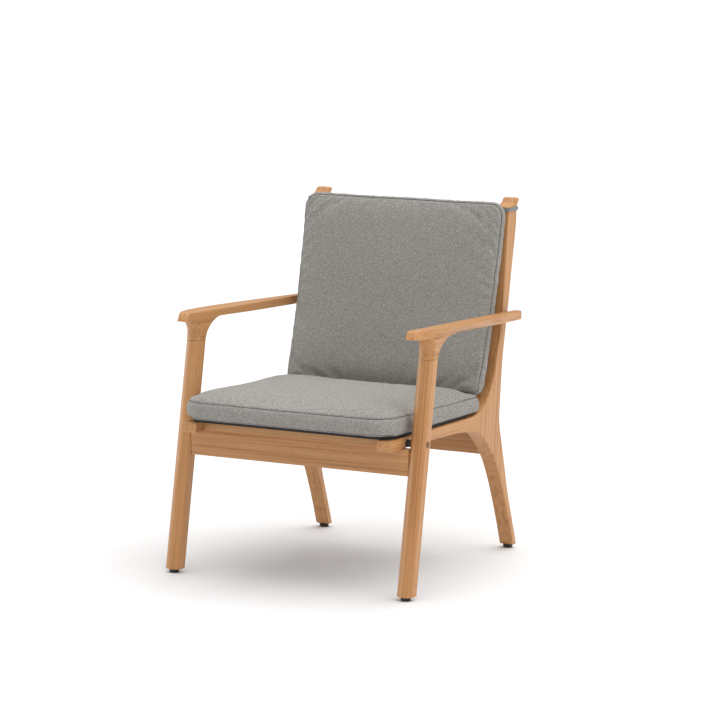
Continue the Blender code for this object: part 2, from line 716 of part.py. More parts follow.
def make_deck_screws():
    for number, (x, y) in enumerate(deck_screw_places(), start=1):
        top = deck_top_z(y) - 0.0004
        profile = (
            (0.0, top), (SCREW_HEAD_RADIUS - 0.0006, top), (SCREW_RADIUS, top - 0.0022),
            (SCREW_RADIUS, top - SCREW_LENGTH + 0.003), (0.0, top - SCREW_LENGTH),
        )
        place(turned(profile, (x, y, 0.0), 12), f"deck_screw_{number}", "steel")


# Bolts, spacers, plugs and glides -----------------------------------------------------------------
def make_tube(name, outer, inner, length, start, direction, material, segments=24):
    tube = rod(outer, length, start, direction, segments)
    reach = Vector(start) - 0.002 * Vector(direction)
    combine(tube, rod(inner, length + 0.004, reach, direction, segments), "DIFFERENCE")
    return place(tube, name, material)


def make_bolt(name, head_start, direction, shaft_length):
    """A cylinder-head bolt: the head starts at head_start and the shaft goes on along direction."""
    head = rod(BOLT_HEAD_RADIUS, BOLT_HEAD_LENGTH, head_start, direction, 20)
    start = Vector(head_start) + (BOLT_HEAD_LENGTH - 0.001) * Vector(direction)
    combine(head, rod(BOLT_RADIUS, shaft_length + 0.001, start, direction, 20), "UNION")
    socket_start = Vector(head_start) - 0.001 * Vector(direction)
    combine(head, rod(0.0030, 0.0040, socket_start, direction, 6), "DIFFERENCE")
    place(head, name, "steel")


def make_leg_hardware(side_name, side):
    y, z = LEG_BOLT
    leg_outer = LEG_X + LEG_THICK / 2
    leg_inner = LEG_X - LEG_THICK / 2
    rail_outer = FRAME_X + FRAME_THICK / 2
    inward = (-side, 0.0, 0.0)
    plug_length = 0.0080
    plug = rod(PLUG_RADIUS, plug_length, (side * (leg_outer - 0.0004), y, z), inward)
    place(plug, f"leg_plug_{side_name}", "oak_end")
    head_x = leg_outer - 0.0004 - plug_length - GAP
    shaft = head_x - BOLT_HEAD_LENGTH - (rail_outer - INSERT_LENGTH + 0.002)
    make_bolt(f"leg_bolt_{side_name}", (side * head_x, y, z), inward, shaft)
    spacer_start = (side * (leg_inner - GAP), y, z)
    spacer_length = leg_inner - rail_outer - 2 * GAP
    make_tube(f"leg_spacer_{side_name}", SPACER_RADIUS, BOLT_RADIUS + 2 * GAP, spacer_length,
              spacer_start, inward, "hardware_black")
    make_tube(f"leg_insert_{side_name}", INSERT_RADIUS, BOLT_RADIUS + GAP, INSERT_LENGTH,
              (side * (rail_outer - 0.0005), y, z), inward, "brass", 20)


def make_arm_hardware(side_name, side):
    y, z = ARM_BOLT
    post_outer = FRAME_X + FRAME_THICK / 2
    post_inner = FRAME_X - FRAME_THICK / 2
    arm_inner = along(ARM_INNER, y)
    outward = (side, 0.0, 0.0)
    head_x = post_inner + 0.0010
    shaft = arm_inner + 0.0125 - head_x - BOLT_HEAD_LENGTH
    make_bolt(f"arm_bolt_{side_name}", (side * head_x, y, z), outward, shaft)
    spacer_length = arm_inner - 0.0006 - post_outer - GAP
    make_tube(f"arm_spacer_{side_name}", ARM_SPACER_RADIUS, BOLT_RADIUS + 2 * GAP, spacer_length,
              (side * (post_outer + GAP), y, z), outward, "hardware_black")
    make_tube(f"arm_insert_{side_name}", INSERT_RADIUS, BOLT_RADIUS + GAP, 0.0125,
              (side * (arm_inner + 0.0007), y, z), outward, "brass", 20)


def glide_pin_hole(x, y):
    start = (x, y, FOOT_HEIGHT - 0.003)
    return rod(GLIDE_PIN_RADIUS + GAP, GLIDE_PIN_LENGTH + 0.004, start, (0.0, 0.0, 1.0), 16)


def make_glide(name, x, y):
    """A round foot glide with the nail that holds it, turned in one piece."""
    top = FOOT_HEIGHT - GAP
    profile = (
        (0.0, top + GLIDE_PIN_LENGTH), (GLIDE_PIN_RADIUS * 0.6, top + GLIDE_PIN_LENGTH - 0.001),
        (GLIDE_PIN_RADIUS, top + GLIDE_PIN_LENGTH - 0.003), (GLIDE_PIN_RADIUS, top),
        (GLIDE_TOP_RADIUS - 0.001, top), (GLIDE_TOP_RADIUS, top - 0.001),
        (GLIDE_FLOOR_RADIUS + 0.0008, 0.0010), (GLIDE_FLOOR_RADIUS, 0.0), (0.0, 0.0),
    )
    place(turned(profile, (x, y, 0.0)), name, "hardware_black")


# Cushions and straps ------------------------------------------------------------------------------
def cushion_height(x, y):
    """Thickness of the seat cushion over a point: thickest in the middle, thinner at the back edge."""
    fraction_back = (y - CUSHION_FRONT_Y) / (CUSHION_BACK_Y - CUSHION_FRONT_Y)
    return CUSHION_EDGE - CUSHION_TAPER * fraction_back


def make_seat_cushion():
    """Stacked outlines: sides swell a little, and the top is crowned."""
    layers = (                  # inset of the outline, share of the edge height, share of the crown
        (0.007, 0.00, 0.0), (0.002, 0.10, 0.0), (0.000, 0.35, 0.0), (0.000, 0.70, 0.0), (0.004, 0.92, 0.0),
        (0.012, 1.00, 0.10), (0.040, 1.00, 0.55), (0.080, 1.00, 0.82), (0.140, 1.00, 0.97),
        (0.200, 1.00, 1.0),
    )
    rings = []
    for inset, share, crown in layers:
        front_corner = max(CUSHION_FRONT_CORNER - 0.5 * inset, 0.012)
        back_corner = max(CUSHION_BACK_CORNER - 0.3 * inset, 0.008)
        ring = []
        front = CUSHION_FRONT_Y + inset
        back = CUSHION_BACK_Y - inset
        outline = rounded_rectangle(CUSHION_HALF_WIDTH - inset, front, back, front_corner, back_corner, 5)
        for x, y in outline:
            base = deck_top_z(y) + 0.0012
            ring.append((x, y, base + share * cushion_height(x, y) + crown * CUSHION_CROWN))
        rings.append(ring)
    place(loft(rings), "seat_cushion", "grey_fabric")


BACK_FRONT = (                  # height, Y of the seam round the front of the back cushion
    (0.400, 0.4450), (0.444, 0.4589), (0.492, 0.4771), (0.564, 0.4991), (0.624, 0.5154), (0.745, 0.5434),
    (0.850, 0.5640),
)


BACK_EDGE = ((0.440, 0.0315), (0.560, 0.0245), (0.620, 0.0235))     # depth of the strip round its edge


def back_cushion_rear_y(z):
    """The rear edge: it meets the posts near the top, and keeps clear of the strap round each post."""
    strap_room = blend(((0.800, 0.0015), (0.815, 0.0050)), z)
    return min(along(BACK_FRONT, z) + along(BACK_EDGE, z), post_front_y(z) - strap_room)


def back_cushion_ring(z, inset, share):
    """A level section: swelling front, sides that widen a little backwards, and a swelling rear."""
    half = BACK_HALF_WIDTH - BACK_TAPER * (BACK_TOP_Z - z) - inset
    front = along(BACK_FRONT, z)
    rear = back_cushion_rear_y(z)
    spare = (rear - front) * (1.0 - share) / 2
    front += spare
    rear -= spare
    depth = rear - front
    fullness = max(0.0, math.sin(math.pi * (z - BACK_BOTTOM_Z) / (BACK_TOP_Z - BACK_BOTTOM_Z)))
    ring = []
    for step in range(17):
        u = -1.0 + 2.0 * step / 16
        swell = BACK_CROWN * fullness ** 0.6 * (1.0 - u ** 4)
        ring.append((half * math.sin(math.pi / 2 * u), front - swell, z))
    right = ((0.0040, 0.30), (0.0056, 0.65), (0.0048, 0.92))
    ring.extend((half + out, front + part * depth, z) for out, part in right)
    for step in range(13):
        u = 1.0 - 2.0 * step / 12
        ring.append(((half + 0.002) * u, rear + BACK_REAR_CROWN * fullness * (1.0 - u ** 2) ** 2, z))
    ring.extend((-half - out, front + part * depth, z) for out, part in reversed(right))
    return ring


def make_back_cushion():
    levels = (                  # height above the bottom, inset at the sides, share of the thickness
        (0.0, 0.0200, 0.45), (0.0020, 0.0113, 0.70), (0.0080, 0.0040, 0.92), (0.0200, 0.0, 1.0),
        (0.0600, 0.0, 1.0), (0.1300, 0.0, 1.0), (0.2050, 0.0, 1.0), (0.2800, 0.0, 1.0), (0.3500, 0.0, 1.0),
        (0.4000, 0.0, 1.0), (0.4335, 0.0010, 0.97), (0.4475, 0.0070, 0.86), (0.4535, 0.0160, 0.62),
        (0.4555, 0.0260, 0.40),
    )
    rings = [back_cushion_ring(BACK_BOTTOM_Z + rise, inset, share) for rise, inset, share in levels]
    place(loft(rings), "back_cushion", "grey_fabric")


STRAP_WIDTH = 0.009
STRAP_THICK = 0.0014


def make_strap(side_name, side):
    """A fabric loop round the top of the post: it climbs from the cushion side to the outer side."""
    inner = FRAME_X - FRAME_THICK / 2 - 0.0006
    outer = FRAME_X + FRAME_THICK / 2 + 0.0006
    path = (                    # x, y, z of the middle of the strap, round the post
        (inner, 0.5826, 0.8265), (outer, 0.5848, 0.8335), (outer, 0.6300, 0.8330), (inner, 0.6295, 0.8260),
    )
    corner = 0.0045
    rings = []
    count = len(path)
    for i, here in enumerate(path):
        before = Vector(path[i - 1]) - Vector(here)
        after = Vector(path[(i + 1) % count]) - Vector(here)
        a = Vector(here) + before.normalized() * corner
        b = Vector(here) + after.normalized() * corner
        for step in range(4):
            t = step / 3
            point = a * (1 - t) ** 2 + Vector(here) * 2 * t * (1 - t) + b * t ** 2
            rings.append(point)
    centre = sum(rings, Vector()) / len(rings)
    inner_ring = []
    for point in rings:
        outward = Vector((point.x - centre.x, point.y - centre.y, 0.0)).normalized()
        inner_ring.append((point, outward))
    loops = []
    for point, outward in inner_ring:
        up = Vector((0.0, 0.25 * STRAP_WIDTH / 2, STRAP_WIDTH / 2))
        near = point + outward * 0.0008
        far = point + outward * (0.0008 + STRAP_THICK)
        section = (near - up, far - up, far + up, near + up)
        loops.append([(side * p.x, p.y, p.z) for p in section])
    bm = bmesh.new()
    rows = [[bm.verts.new(p) for p in loop] for loop in loops]
    for i, row in enumerate(rows):
        nxt = rows[(i + 1) % len(rows)]
        for j in range(4):
            k = (j + 1) % 4
            bm.faces.new((row[j], row[k], nxt[k], nxt[j]))
    place(mesh_object("strap", bm), f"post_strap_{side_name}", "strap_grey")


# The chair ----------------------------------------------------------------------------------------
def build():
    for side_name, side in SIDES:
        make_front_leg(side_name, side)
        make_armrest(side_name, side)
        make_arm_tenon(side_name, side)
        make_seat_rail(side_name, side)
        make_back_leg(side_name, side)
        make_rail_dowels(side_name, side)
        make_leg_hardware(side_name, side)
        make_arm_hardware(side_name, side)
        make_glide(f"front_glide_{side_name}", side * LEG_X, LEG_FOOT_Y)
        make_glide(f"rear_glide_{side_name}", side * FRAME_X, REAR_FOOT_Y)
        make_strap(side_name, side)
    make_apron("front_apron", FRONT_APRON, LEG_X - LEG_THICK / 2)
    make_apron("rear_apron", REAR_APRON, FRAME_X - FRAME_THICK / 2)
    make_cross_rail("front_cross_rail", *FRONT_CROSS_RAIL)
    make_cross_rail("rear_cross_rail", *REAR_CROSS_RAIL)
    for number, z in enumerate(SLAT_LEVELS, start=1):
        make_slat(number, z)
    make_deck()
    make_deck_screws()
    make_seat_cushion()
    make_back_cushion()
    bpy.context.view_layer.update()


build()
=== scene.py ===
import math

import bmesh
import bpy
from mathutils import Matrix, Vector, noise
from mathutils.bvhtree import BVHTree
from mathutils.kdtree import KDTree


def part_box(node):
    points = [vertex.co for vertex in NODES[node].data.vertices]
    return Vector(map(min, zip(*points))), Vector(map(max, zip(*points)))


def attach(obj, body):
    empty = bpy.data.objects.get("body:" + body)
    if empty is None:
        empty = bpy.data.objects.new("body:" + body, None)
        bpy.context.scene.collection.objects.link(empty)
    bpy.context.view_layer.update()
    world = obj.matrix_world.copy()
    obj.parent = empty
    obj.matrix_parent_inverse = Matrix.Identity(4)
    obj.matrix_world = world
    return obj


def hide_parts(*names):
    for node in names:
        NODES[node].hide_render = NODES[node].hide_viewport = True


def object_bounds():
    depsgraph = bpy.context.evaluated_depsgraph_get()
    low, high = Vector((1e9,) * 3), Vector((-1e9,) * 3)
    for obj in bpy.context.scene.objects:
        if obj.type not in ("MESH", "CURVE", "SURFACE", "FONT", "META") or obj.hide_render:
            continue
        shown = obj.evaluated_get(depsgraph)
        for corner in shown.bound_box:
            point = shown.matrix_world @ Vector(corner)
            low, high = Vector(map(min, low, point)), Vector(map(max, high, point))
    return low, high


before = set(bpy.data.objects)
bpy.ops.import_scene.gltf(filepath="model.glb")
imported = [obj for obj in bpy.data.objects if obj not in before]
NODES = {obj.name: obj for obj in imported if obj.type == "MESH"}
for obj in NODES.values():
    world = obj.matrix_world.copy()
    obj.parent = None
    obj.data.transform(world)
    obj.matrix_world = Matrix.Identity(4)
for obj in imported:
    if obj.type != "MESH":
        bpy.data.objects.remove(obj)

CAD_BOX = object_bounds()

# The camera, as angles round the chair and a point it aims at -------------------------------------
CAMERA_AZIMUTH = math.radians(28.76)
CAMERA_ELEVATION = math.radians(8.975)
CAMERA_DISTANCE = 7.6
CAMERA_AIM = Vector((0.1284, -0.1915, 0.5240))
CAMERA_LENS = 165.0

# Cushions -----------------------------------------------------------------------------------------
VOXEL = 0.0055
SEAM_REACH = 0.0045             # points this near a seam are held while the cloth swells
SEAM_SINK = 0.0021              # how deep a seam draws the cover in
SEAT_SLOPE = math.radians(0.9)  # the deck falls this much towards the back
SEAT_EDGE = 0.0430              # depth of the seat cushion's boxing at the front
SEAT_EDGE_TAPER = 0.0070        # how much less it is at the back
SEAT_SAG = 0.0045               # how far, at most, the cover comes down beside the deck
SEAT_CROWNS = (0.0220, 0.0)     # swell of the face panel and of the rear panel
BACK_CROWNS = (0.0120, 0.0090)
SEAT_CORNERS = (0.022, 0.058)   # corner radius at the high end and at the low end of v
BACK_CORNERS = (0.036, 0.015)
SWELL_LIMIT = 0.012             # no point of a cover moves further than this while it is filled
FULLNESS = 4.0                  # pressure of the filling
SEAM_INSET = 0.0055             # the seams stand in this far from the widest line of the edge
BOXING_SWELL = 0.0040
DECK_PLAY = 0.0008
POST_PLAY = 0.0016               # room between the back cushion and the posts
POST_INNER = 0.2360


# Small node-building helpers ----------------------------------------------------------------------
class Nodes:
    """A material's node tree, with short calls for the nodes used here."""

    def __init__(self, name):
        self.material = bpy.data.materials.new(name)
        self.material.use_nodes = True
        self.tree = self.material.node_tree
        self.shader = self.tree.nodes["Principled BSDF"]

    def add(self, kind, **settings):
        node = self.tree.nodes.new(kind)
        for key, value in settings.items():
            setattr(node, key, value)
        return node

    def link(self, start, end):
        self.tree.links.new(start, end)

    def plug(self, value, socket):
        """Links a socket, or sets a number."""
        if hasattr(value, "is_output"):
            self.link(value, socket)
        else:
            socket.default_value = value

    def math(self, operation, a, b=0.0, c=0.0):
        node = self.add("ShaderNodeMath", operation=operation)
        self.plug(a, node.inputs[0])
        self.plug(b, node.inputs[1])
        self.plug(c, node.inputs[2])
        return node.outputs[0]

    def noise(self, vector, scale, detail=3.0, roughness=0.5, distortion=0.0):
        node = self.add("ShaderNodeTexNoise")
        self.link(vector, node.inputs["Vector"])
        node.inputs["Scale"].default_value = scale
        node.inputs["Detail"].default_value = detail
        node.inputs["Roughness"].default_value = roughness
        node.inputs["Distortion"].default_value = distortion
        return node.outputs["Fac"]

    def remap(self, value, low, high, to_low=0.0, to_high=1.0):
        node = self.add("ShaderNodeMapRange", interpolation_type="SMOOTHSTEP")
        self.link(value, node.inputs["Value"])
        node.inputs["From Min"].default_value = low
        node.inputs["From Max"].default_value = high
        node.inputs["To Min"].default_value = to_low
        node.inputs["To Max"].default_value = to_high
        return node.outputs["Result"]

    def mapped(self, vector, location=(0, 0, 0), rotation=(0, 0, 0), scale=(1, 1, 1)):
        node = self.add("ShaderNodeMapping")
        self.link(vector, node.inputs["Vector"])
        node.inputs["Location"].default_value = location
        node.inputs["Rotation"].default_value = rotation
        node.inputs["Scale"].default_value = scale
        return node.outputs["Vector"]

    def mix(self, factor, a, b, blend="MIX"):
        node = self.add("ShaderNodeMix", data_type="RGBA", blend_type=blend)
        self.plug(factor, node.inputs[0])
        for value, socket in ((a, node.inputs[6]), (b, node.inputs[7])):
            if hasattr(value, "is_output"):
                self.link(value, socket)
            else:
                socket.default_value = (*value, 1.0)
        return node.outputs[2]

    def bump(self, height, distance, strength=1.0):
        node = self.add("ShaderNodeBump")
        node.inputs["Strength"].default_value = strength
        node.inputs["Distance"].default_value = distance
        self.link(height, node.inputs["Height"])
        self.link(node.outputs["Normal"], self.shader.inputs["Normal"])

    def coords(self, kind="Object"):
        return self.add("ShaderNodeTexCoord").outputs[kind]


# Materials ----------------------------------------------------------------------------------------
WOOD_LIGHT = (0.560, 0.290, 0.120)
WOOD_MID = (0.450, 0.205, 0.072)
WOOD_DARK = (0.280, 0.104, 0.030)


def wood(name, grain):
    """Oiled straight-grained hardwood whose grain runs along a direction."""
    n = Nodes(name)
    turn = Vector(grain).normalized().rotation_difference(Vector((0.0, 0.0, 1.0))).to_euler()
    along = n.mapped(n.coords(), location=(0.013, 0.027, 0.4), rotation=tuple(turn))
    drift = n.mapped(along, scale=(9.0, 9.0, 0.9))
    broad = n.noise(n.mapped(along, scale=(110.0, 110.0, 2.0)), 1.0, 3.0, 0.55, 0.3)
    fine = n.noise(n.mapped(along, scale=(330.0, 330.0, 7.0)), 1.0, 3.0, 0.6)
    rings = n.add("ShaderNodeTexWave", wave_type="BANDS", bands_direction="DIAGONAL", wave_profile="SIN")
    n.link(n.mapped(along, scale=(75.0, 75.0, 0.9)), rings.inputs["Vector"])
    rings.inputs["Scale"].default_value = 1.0
    rings.inputs["Distortion"].default_value = 3.0
    rings.inputs["Detail"].default_value = 2.0
    rings.inputs["Detail Scale"].default_value = 0.6
    bands = n.math("MULTIPLY", n.remap(broad, 0.25, 0.78), 0.70)
    streak = n.math("MULTIPLY_ADD", rings.outputs["Fac"], 0.16, bands)
    tone = n.mix(n.remap(streak, 0.08, 0.95), WOOD_LIGHT, WOOD_MID)
    tone = n.mix(n.remap(streak, 0.45, 1.25), tone, WOOD_DARK)
    tone = n.mix(n.remap(fine, 0.45, 0.85, 0.0, 0.34), tone, WOOD_DARK)
    slow = n.noise(drift, 1.0, 2.0)
    tone = n.mix(n.remap(slow, 0.35, 0.70, 0.0, 0.22), tone, (0.50, 0.215, 0.072))
    pores = n.noise(n.mapped(along, scale=(1150.0, 1150.0, 38.0)), 1.0, 1.0, 0.5)
    pits = n.remap(pores, 0.66, 0.74)
    tone = n.mix(n.math("MULTIPLY", pits, 0.55), tone, (0.20, 0.085, 0.035))
    n.link(tone, n.shader.inputs["Base Color"])
    n.link(n.remap(fine, 0.2, 0.8, 0.34, 0.50), n.shader.inputs["Roughness"])
    n.shader.inputs["Coat Weight"].default_value = 0.14
    n.shader.inputs["Coat Roughness"].default_value = 0.26
    n.shader.inputs["Specular IOR Level"].default_value = 0.32
    height = n.math("SUBTRACT", n.math("MULTIPLY", fine, 0.35), n.math("MULTIPLY", pits, 0.8))
    n.bump(height, 0.00025, 0.5)
    return n.material


def end_grain():
    """The dark plug over a bolt: end grain with close rings."""
    n = Nodes("wood_end_grain")
    rings = n.add("ShaderNodeTexWave", wave_type="BANDS", bands_direction="Y", wave_profile="SIN")
    n.link(n.coords(), rings.inputs["Vector"])
    rings.inputs["Scale"].default_value = 190.0
    rings.inputs["Distortion"].default_value = 2.5
    grit = n.noise(n.coords(), 1500.0, 2.0)
    value = n.math("MULTIPLY_ADD", grit, 0.5, n.math("MULTIPLY", rings.outputs["Fac"], 0.5))
    tone = n.mix(n.remap(value, 0.2, 0.8), (0.10, 0.045, 0.020), (0.20, 0.095, 0.042))
    n.link(tone, n.shader.inputs["Base Color"])
    n.link(n.remap(grit, 0.2, 0.8, 0.5, 0.68), n.shader.inputs["Roughness"])
    n.bump(grit, 0.0001)
    return n.material


def weave_height(n, pitch):
    """Interlaced threads at a pitch, on whichever pair of axes the surface lies across."""
    point = n.add("ShaderNodeSeparateXYZ")
    n.link(n.mapped(n.coords(), scale=(math.tau / pitch,) * 3), point.inputs[0])
    waves = [n.math("SINE", point.outputs[i]) for i in range(3)]
    facing = n.add("ShaderNodeSeparateXYZ")
    n.link(n.coords("Normal"), facing.inputs[0])
    total = None
    for axis, (a, b) in enumerate(((1, 2), (0, 2), (0, 1))):
        weight = n.math("POWER", n.math("ABSOLUTE", facing.outputs[axis]), 3.0)
        part = n.math("MULTIPLY", n.math("MULTIPLY", waves[a], waves[b]), weight)
        total = part if total is None else n.math("ADD", total, part)
    return total


def cloth(name, dark, light, pitch=0.0016, bump=0.00030):
    """Flat woven upholstery cloth in a mixture of darker and lighter yarns."""
    n = Nodes(name)
    weave = weave_height(n, pitch)
    yarn = n.noise(n.coords(), 520.0, 3.0, 0.7)
    slub = n.noise(n.mapped(n.coords(), scale=(1.0, 0.4, 1.0)), 330.0, 2.0, 0.6)
    value = n.math("MULTIPLY_ADD", yarn, 0.66, n.math("MULTIPLY", slub, 0.34))
    value = n.math("MULTIPLY_ADD", weave, 0.07, value)
    tone = n.mix(n.remap(value, 0.36, 0.72), dark, light)
    n.link(tone, n.shader.inputs["Base Color"])
    n.shader.inputs["Roughness"].default_value = 0.95
    n.shader.inputs["Specular IOR Level"].default_value = 0.18
    n.shader.inputs["Sheen Weight"].default_value = 0.10
    n.shader.inputs["Sheen Roughness"].default_value = 0.45
    height = n.math("MULTIPLY_ADD", weave, 0.5, n.math("MULTIPLY", yarn, 0.9))
    n.bump(height, bump, 0.8)
    return n.material


def tape():
    """Narrow woven tape: close ribs across it."""
    n = Nodes("strap_tape")
    ribs = weave_height(n, 0.0011)
    yarn = n.noise(n.coords(), 900.0, 2.0)
    value = n.math("MULTIPLY_ADD", ribs, 0.25, yarn)
    tone = n.mix(n.remap(value, 0.3, 0.8), (0.145, 0.155, 0.155), (0.30, 0.31, 0.31))
    n.link(tone, n.shader.inputs["Base Color"])
    n.shader.inputs["Roughness"].default_value = 0.9
    n.shader.inputs["Sheen Weight"].default_value = 0.15
    n.bump(value, 0.0003, 0.8)
    return n.material


def painted_seam_shade():
    """Painted shade for the seams: a thread-thin line, darker than the cloth, that paints the shade down in
    each seam's groove.
    """
    n = Nodes("seam_painted_shade")
    twist = n.noise(n.coords(), 1400.0, 2.0)
    # near-black greys: painted shade of the seam's groove, darker than the cloth's own yarns
    tone = n.mix(n.remap(twist, 0.3, 0.7), (0.060, 0.062, 0.062), (0.115, 0.118, 0.118))
    n.link(tone, n.shader.inputs["Base Color"])
    n.shader.inputs["Roughness"].default_value = 0.9
    n.bump(twist, 0.0002)
    return n.material


def black(name, low, high, roughness, scale):
    """Matt black paint or moulded plastic with a faint texture."""
    n = Nodes(name)
    grit = n.noise(n.coords(), scale, 3.0, 0.6)
    n.link(n.mix(n.remap(grit, 0.3, 0.7), low, high), n.shader.inputs["Base Color"])
    n.link(n.remap(grit, 0.25, 0.75, roughness - 0.07, roughness + 0.07), n.shader.inputs["Roughness"])
    n.bump(grit, 0.00015, 0.6)
    return n.material


def metal(name, low, high, roughness):
    """Plated or turned metal with fine machining marks."""
    n = Nodes(name)
    marks = n.noise(n.mapped(n.coords(), scale=(60.0, 900.0, 900.0)), 1.0, 2.0)
    n.link(n.mix(n.remap(marks, 0.3, 0.7), low, high), n.shader.inputs["Base Color"])
    n.shader.inputs["Metallic"].default_value = 1.0
    n.link(n.remap(marks, 0.25, 0.75, roughness - 0.08, roughness + 0.08), n.shader.inputs["Roughness"])
    n.bump(marks, 0.0001, 0.5)
    return n.material


def floor_material():
    n = Nodes("studio_floor")
    grit = n.noise(n.coords(), 3.0, 2.0)
    n.link(n.mix(grit, (0.80, 0.80, 0.80), (0.83, 0.83, 0.83)), n.shader.inputs["Base Color"])
    n.shader.inputs["Roughness"].default_value = 0.6
    n.shader.inputs["Specular IOR Level"].default_value = 0.15
    return n.material


# The CAD nodes' own finish ------------------------------------------------------------------------
def smoothing_group():
    """Welds a node's facets and rounds its shading, but keeps edges sharper than 38 degrees crisp."""
    tree = bpy.data.node_groups.new("round_shading", "GeometryNodeTree")
    tree.interface.new_socket("Geometry", in_out="INPUT", socket_type="NodeSocketGeometry")
    tree.interface.new_socket("Geometry", in_out="OUTPUT", socket_type="NodeSocketGeometry")
    start = tree.nodes.new("NodeGroupInput")
    end = tree.nodes.new("NodeGroupOutput")
    weld = tree.nodes.new("GeometryNodeMergeByDistance")
    weld.inputs["Distance"].default_value = 0.00001
    faces = tree.nodes.new("GeometryNodeSetShadeSmooth")
    faces.domain = "FACE"
    edges = tree.nodes.new("GeometryNodeSetShadeSmooth")
    edges.domain = "EDGE"
    edges.inputs["Shade Smooth"].default_value = False
    angle = tree.nodes.new("GeometryNodeInputMeshEdgeAngle")
    steep = tree.nodes.new("FunctionNodeCompare")
    steep.data_type = "FLOAT"
    steep.operation = "GREATER_THAN"
    steep.inputs[1].default_value = math.radians(38)
    tree.links.new(start.outputs[0], weld.inputs["Geometry"])
    tree.links.new(weld.outputs["Geometry"], faces.inputs["Geometry"])
    tree.links.new(faces.outputs["Geometry"], edges.inputs["Geometry"])
    tree.links.new(angle.outputs["Unsigned Angle"], steep.inputs[0])
    tree.links.new(steep.outputs[0], edges.inputs["Selection"])
    tree.links.new(edges.outputs["Geometry"], end.inputs[0])
    return tree


def finish_node(ob, material, group):
    """Gives a CAD node its material and its shading."""
    for slot in ob.material_slots:
        slot.material = material
    if "custom_normal" in ob.data.attributes:
        ob.data.attributes.remove(ob.data.attributes["custom_normal"])
    ob.modifiers.new("round_shading", "NODES").node_group = group
    even = ob.modifiers.new("even_normals", "WEIGHTED_NORMAL")
    even.keep_sharp = True
    even.weight = 50


def finish_nodes():
    rules = (
        ("front_leg", wood("wood_front_leg", (0.0, 0.1935, 1.0))),
        ("armrest", wood("wood_armrest", (0.0, 1.0, -0.035))),
        ("seat_rail", wood("wood_seat_rail", (0.0, 1.0, -0.02))),
        ("back_leg", wood("wood_back_leg", (0.0, 0.10, 1.0))),
        ("leg_plug", end_grain()),
        ("seat_deck", black("deck_paint", (0.010, 0.010, 0.011), (0.018, 0.018, 0.019), 0.72, 260.0)),
        ("spacer", black("spacer_plastic", (0.010, 0.010, 0.010), (0.022, 0.022, 0.022), 0.45, 700.0)),
        ("glide", black("glide_plastic", (0.008, 0.008, 0.008), (0.020, 0.020, 0.020), 0.40, 700.0)),
        ("bolt", metal("zinc_plate", (0.45, 0.45, 0.47), (0.62, 0.62, 0.62), 0.34)),
        ("deck_screw", metal("screw_steel", (0.40, 0.40, 0.41), (0.58, 0.58, 0.58), 0.36)),
        ("insert", metal("turned_brass", (0.55, 0.38, 0.16), (0.70, 0.52, 0.24), 0.36)),
        ("strap", tape()),
        ("", wood("wood_cross_grain", (1.0, 0.0, 0.0))),
    )
    group = smoothing_group()
    for name, ob in NODES.items():
        for word, material in rules:
            if word in name:
                finish_node(ob, material, group)
                break


# Cushions -----------------------------------------------------------------------------------------
def rounded_loop(half_u, low_v, high_v, high_radius, low_radius, per_corner=8, per_side=14):
    """An anticlockwise loop of (u, v) points round a rounded rectangle, evenly placed."""
    corners = (
        (half_u - high_radius, high_v - high_radius, high_radius, 0.0),
        (-half_u + high_radius, high_v - high_radius, high_radius, math.pi / 2),
        (-half_u + low_radius, low_v + low_radius, low_radius, math.pi),
        (half_u - low_radius, low_v + low_radius, low_radius, 3 * math.pi / 2),
    )
    arcs = []
    for u, v, radius, start in corners:
        arc = []
        for step in range(per_corner + 1):
            angle = start + math.pi / 2 * step / per_corner
            arc.append((u + radius * math.cos(angle), v + radius * math.sin(angle)))
        arcs.append(arc)
    loop = []
    for i, arc in enumerate(arcs):
        loop.extend(arc)
        a = arc[-1]
        b = arcs[(i + 1) % 4][0]
        for step in range(1, per_side):
            t = step / per_side
            loop.append((a[0] + (b[0] - a[0]) * t, a[1] + (b[1] - a[1]) * t))
    return loop


